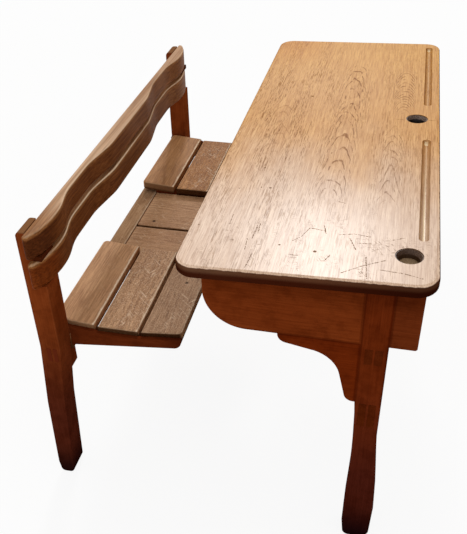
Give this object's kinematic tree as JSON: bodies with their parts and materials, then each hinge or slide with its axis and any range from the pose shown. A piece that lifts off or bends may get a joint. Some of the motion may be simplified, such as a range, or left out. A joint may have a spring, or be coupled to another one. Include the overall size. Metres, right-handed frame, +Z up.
{
  "type": "double school desk with bench",
  "caption": "Old oak school desk with a sloping fixed top, pen grooves and lift-out inkwells, an open book box, and a slatted bench joined on by boards at seat height.",
  "frame": {"origin": "on the floor, under the middle of the whole desk and bench", "axes": "+Z up, +X from the bench to the desk, the way the pupils face, Y along the desk's length"},
  "size_m": [0.7826, 1.15, 0.7055],
  "materials": {
    "top_oak": "old varnish, worn to satin, scratched",
    "frame_oak": "dark reddish-brown varnish, semi-gloss",
    "seat_oak": "worn varnish, pale edges",
    "rail_oak": "worn varnish, pale arrises",
    "glaze": "dark glaze, glossy",
    "screw_steel": "dulled steel"
  },
  "bodies": {
    "desk": {"backrest_lower_rail": "rail_oak", "backrest_screws": "screw_steel", "backrest_upper_rail": "rail_oak", "bench_post_far": "frame_oak", "bench_post_near": "frame_oak", "bench_rear_rail": "frame_oak", "book_back": "frame_oak", "book_divider": "frame_oak", "book_shelf": "frame_oak", "bridge_board_far": "seat_oak", "bridge_board_near": "seat_oak", "desk_leg_far": "frame_oak", "desk_leg_near": "frame_oak", "desk_top_main": "top_oak", "desk_top_rear": "top_oak", "inner_bearer_far": "frame_oak", "inner_bearer_near": "frame_oak", "leg_bracket_far": "frame_oak", "leg_bracket_near": "frame_oak", "lower_stretcher": "frame_oak", "seat_bearer_far": "frame_oak", "seat_bearer_near": "frame_oak", "seat_slat_back_far": "seat_oak", "seat_slat_back_near": "seat_oak", "seat_slat_front_far": "seat_oak", "seat_slat_front_near": "seat_oak", "seat_slat_middle_far": "seat_oak", "seat_slat_middle_near": "seat_oak", "side_panel_far": "frame_oak", "side_panel_near": "frame_oak", "side_panel_rear_far": "frame_oak", "side_panel_rear_near": "frame_oak", "upper_stretcher": "frame_oak"},
    "inkwell_near": {"inkwell_near": "glaze"},
    "inkwell_far": {"inkwell_far": "glaze"}
  },
  "joints": [
    {"name": "inkwell_near_lift", "type": "slide", "parent": "desk", "child": "inkwell_near", "axis": [0, 0, 1], "range_m": [0, 0.06]},
    {"name": "inkwell_far_lift", "type": "slide", "parent": "desk", "child": "inkwell_far", "axis": [0, 0, 1], "range_m": [0, 0.06]}
  ]
}
